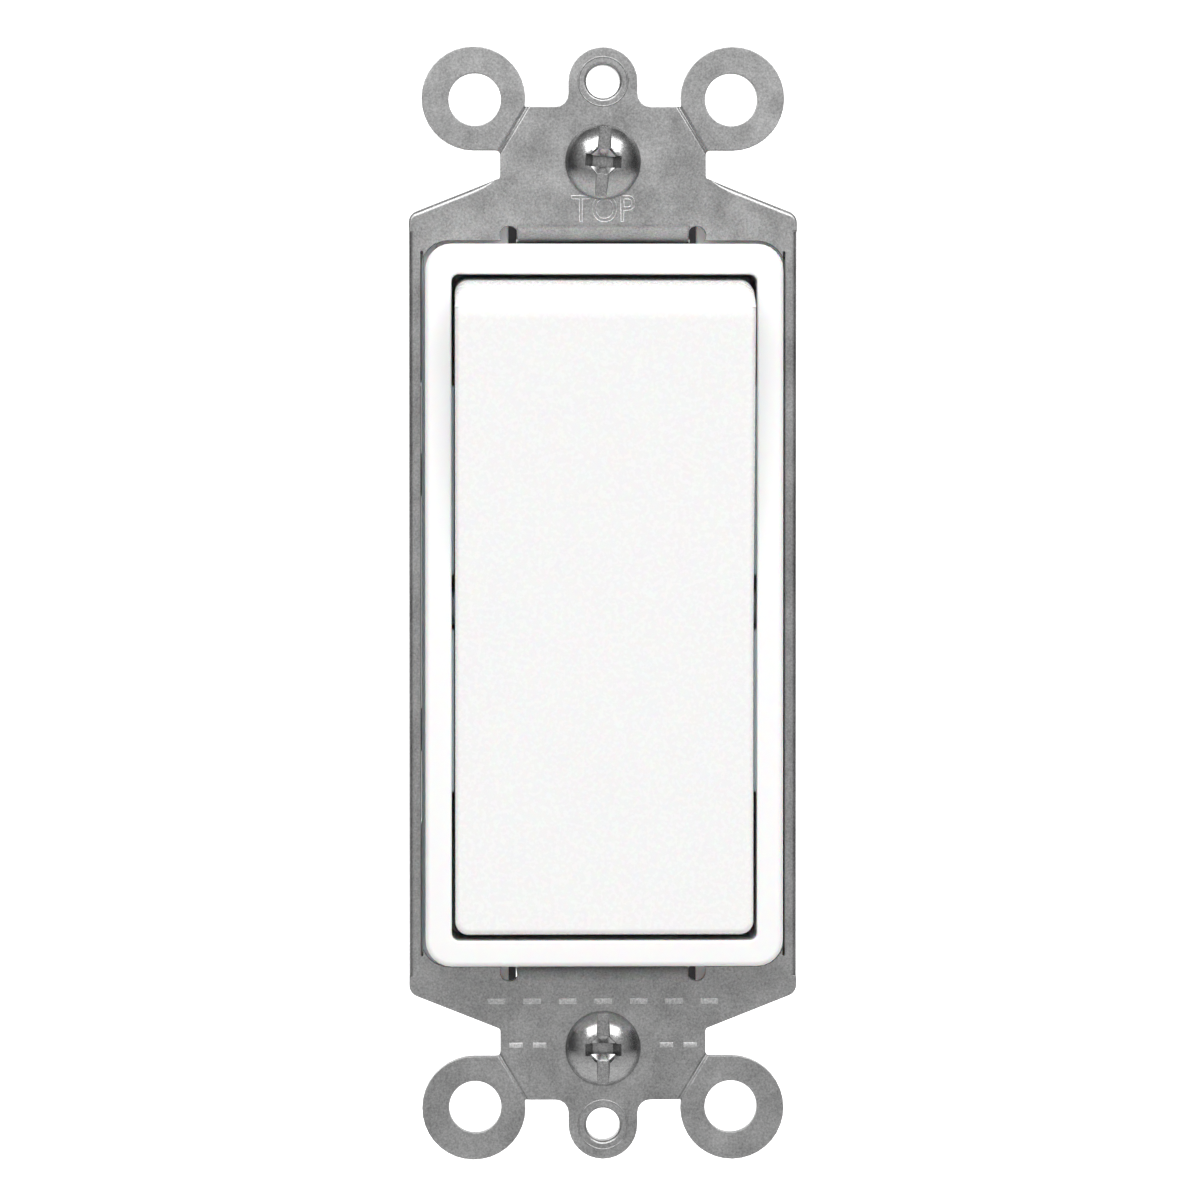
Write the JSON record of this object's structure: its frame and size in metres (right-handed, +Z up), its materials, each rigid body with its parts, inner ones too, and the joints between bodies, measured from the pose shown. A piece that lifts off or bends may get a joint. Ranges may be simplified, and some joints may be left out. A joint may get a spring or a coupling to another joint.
{
  "type": "rocker wall switch",
  "caption": "Decorator-style rocker wall switch: metal mounting strap with plaster ears, raised white frame, tilting paddle, and a rear housing with a sprung seesaw contact.",
  "frame": {"origin": "middle between the two cover-plate screw holes, on the back plane of the strap", "axes": "+Z up along the strap, -Y out of the wall towards the user, +X to the user's right"},
  "size_m": [0.036, 0.0346, 0.1034],
  "materials": {
    "strap_steel": "zinc-plated, fine grain",
    "white_plastic": "gloss",
    "paddle_plastic": "gloss",
    "black_nylon": "matte",
    "acetal": "satin",
    "spring_steel": "bright",
    "pad_rubber": "matte",
    "housing_plastic": "moulded, fine texture",
    "fibre": "matte",
    "bronze": "satin",
    "contact_silver": "bright",
    "terminal_brass": "satin",
    "screw_brass": "bright",
    "ground_green": "green dip",
    "screw_zinc": "zinc-plated"
  },
  "bodies": {
    "switch_body": {"mounting_strap": "strap_steel", "front_frame": "white_plastic", "bumper_pads": "pad_rubber", "rear_housing": "housing_plastic", "insulating_sheet": "fibre", "fixed_contact": "contact_silver", "line_terminal": "terminal_brass", "load_terminal": "terminal_brass", "housing_screws": "screw_zinc"},
    "rocker": {"rocker_paddle": "paddle_plastic", "rocker_carrier": "black_nylon", "plunger_spring": "spring_steel"},
    "plunger_pin": {"plunger": "acetal"},
    "contact_lever": {"contact_arm": "bronze", "moving_contact": "contact_silver"},
    "top_retainer": {"screw_retainer_top": "fibre"},
    "top_screw": {"mount_screw_top": "screw_zinc"},
    "bottom_retainer": {"screw_retainer_bottom": "fibre"},
    "bottom_screw": {"mount_screw_bottom": "screw_zinc"},
    "line_screw": {"line_terminal_screw": "screw_brass"},
    "line_clamp": {"line_clamp_plate": "terminal_brass"},
    "load_screw": {"load_terminal_screw": "screw_brass"},
    "load_clamp": {"load_clamp_plate": "terminal_brass"},
    "ground_clamp": {"ground_screw": "ground_green", "ground_clamp_washer": "ground_green"}
  },
  "joints": [
    {"name": "rocker_tilt", "type": "hinge", "parent": "switch_body", "child": "rocker", "pos_m": [0, -0.0016, -0.0002], "axis": [-1, 0, 0], "range_deg": [0, 8]},
    {"name": "plunger_slide", "type": "slide", "parent": "rocker", "child": "plunger_pin", "axis": [0, -0.9976, -0.0698], "range_m": [0, 0.0004], "stiffness_N_per_m": 300, "springref_m": -0.003},
    {"name": "contact_tilt", "type": "hinge", "parent": "switch_body", "child": "contact_lever", "pos_m": [0, 0.01143, -0.0002], "axis": [1, 0, 0], "range_deg": [0, 12]},
    {"name": "top_screw_float", "type": "slide", "parent": "switch_body", "child": "top_retainer", "axis": [0, 0, 1], "range_m": [-0.0001, 0.0008]},
    {"name": "top_screw_turn", "type": "hinge", "parent": "top_retainer", "child": "top_screw", "pos_m": [0, 0, 0.041], "axis": [0, 1, 0], "continuous": true},
    {"name": "bottom_screw_float", "type": "slide", "parent": "switch_body", "child": "bottom_retainer", "axis": [0, 0, -1], "range_m": [-0.0004, 0.0006]},
    {"name": "bottom_screw_turn", "type": "hinge", "parent": "bottom_retainer", "child": "bottom_screw", "pos_m": [0, 0, -0.0413], "axis": [0, 1, 0], "continuous": true},
    {"name": "line_screw_drive", "type": "slide", "parent": "switch_body", "child": "line_screw", "axis": [-1, 0, 0], "range_m": [0, 0.0025]},
    {"name": "line_clamp_close", "type": "slide", "parent": "switch_body", "child": "line_clamp", "axis": [-1, 0, 0], "range_m": [0, 0.0025]},
    {"name": "load_screw_drive", "type": "slide", "parent": "switch_body", "child": "load_screw", "axis": [-1, 0, 0], "range_m": [0, 0.0025]},
    {"name": "load_clamp_close", "type": "slide", "parent": "switch_body", "child": "load_clamp", "axis": [-1, 0, 0], "range_m": [0, 0.0025]},
    {"name": "ground_screw_back_out", "type": "slide", "parent": "switch_body", "child": "ground_clamp", "axis": [0, 0, -1], "range_m": [0, 0.002]}
  ],
  "couplings": [
    {"joint": "contact_tilt", "follows": "rocker_tilt", "ratio": 1.5},
    {"joint": "line_clamp_close", "follows": "line_screw_drive", "ratio": 1},
    {"joint": "load_clamp_close", "follows": "load_screw_drive", "ratio": 1}
  ]
}
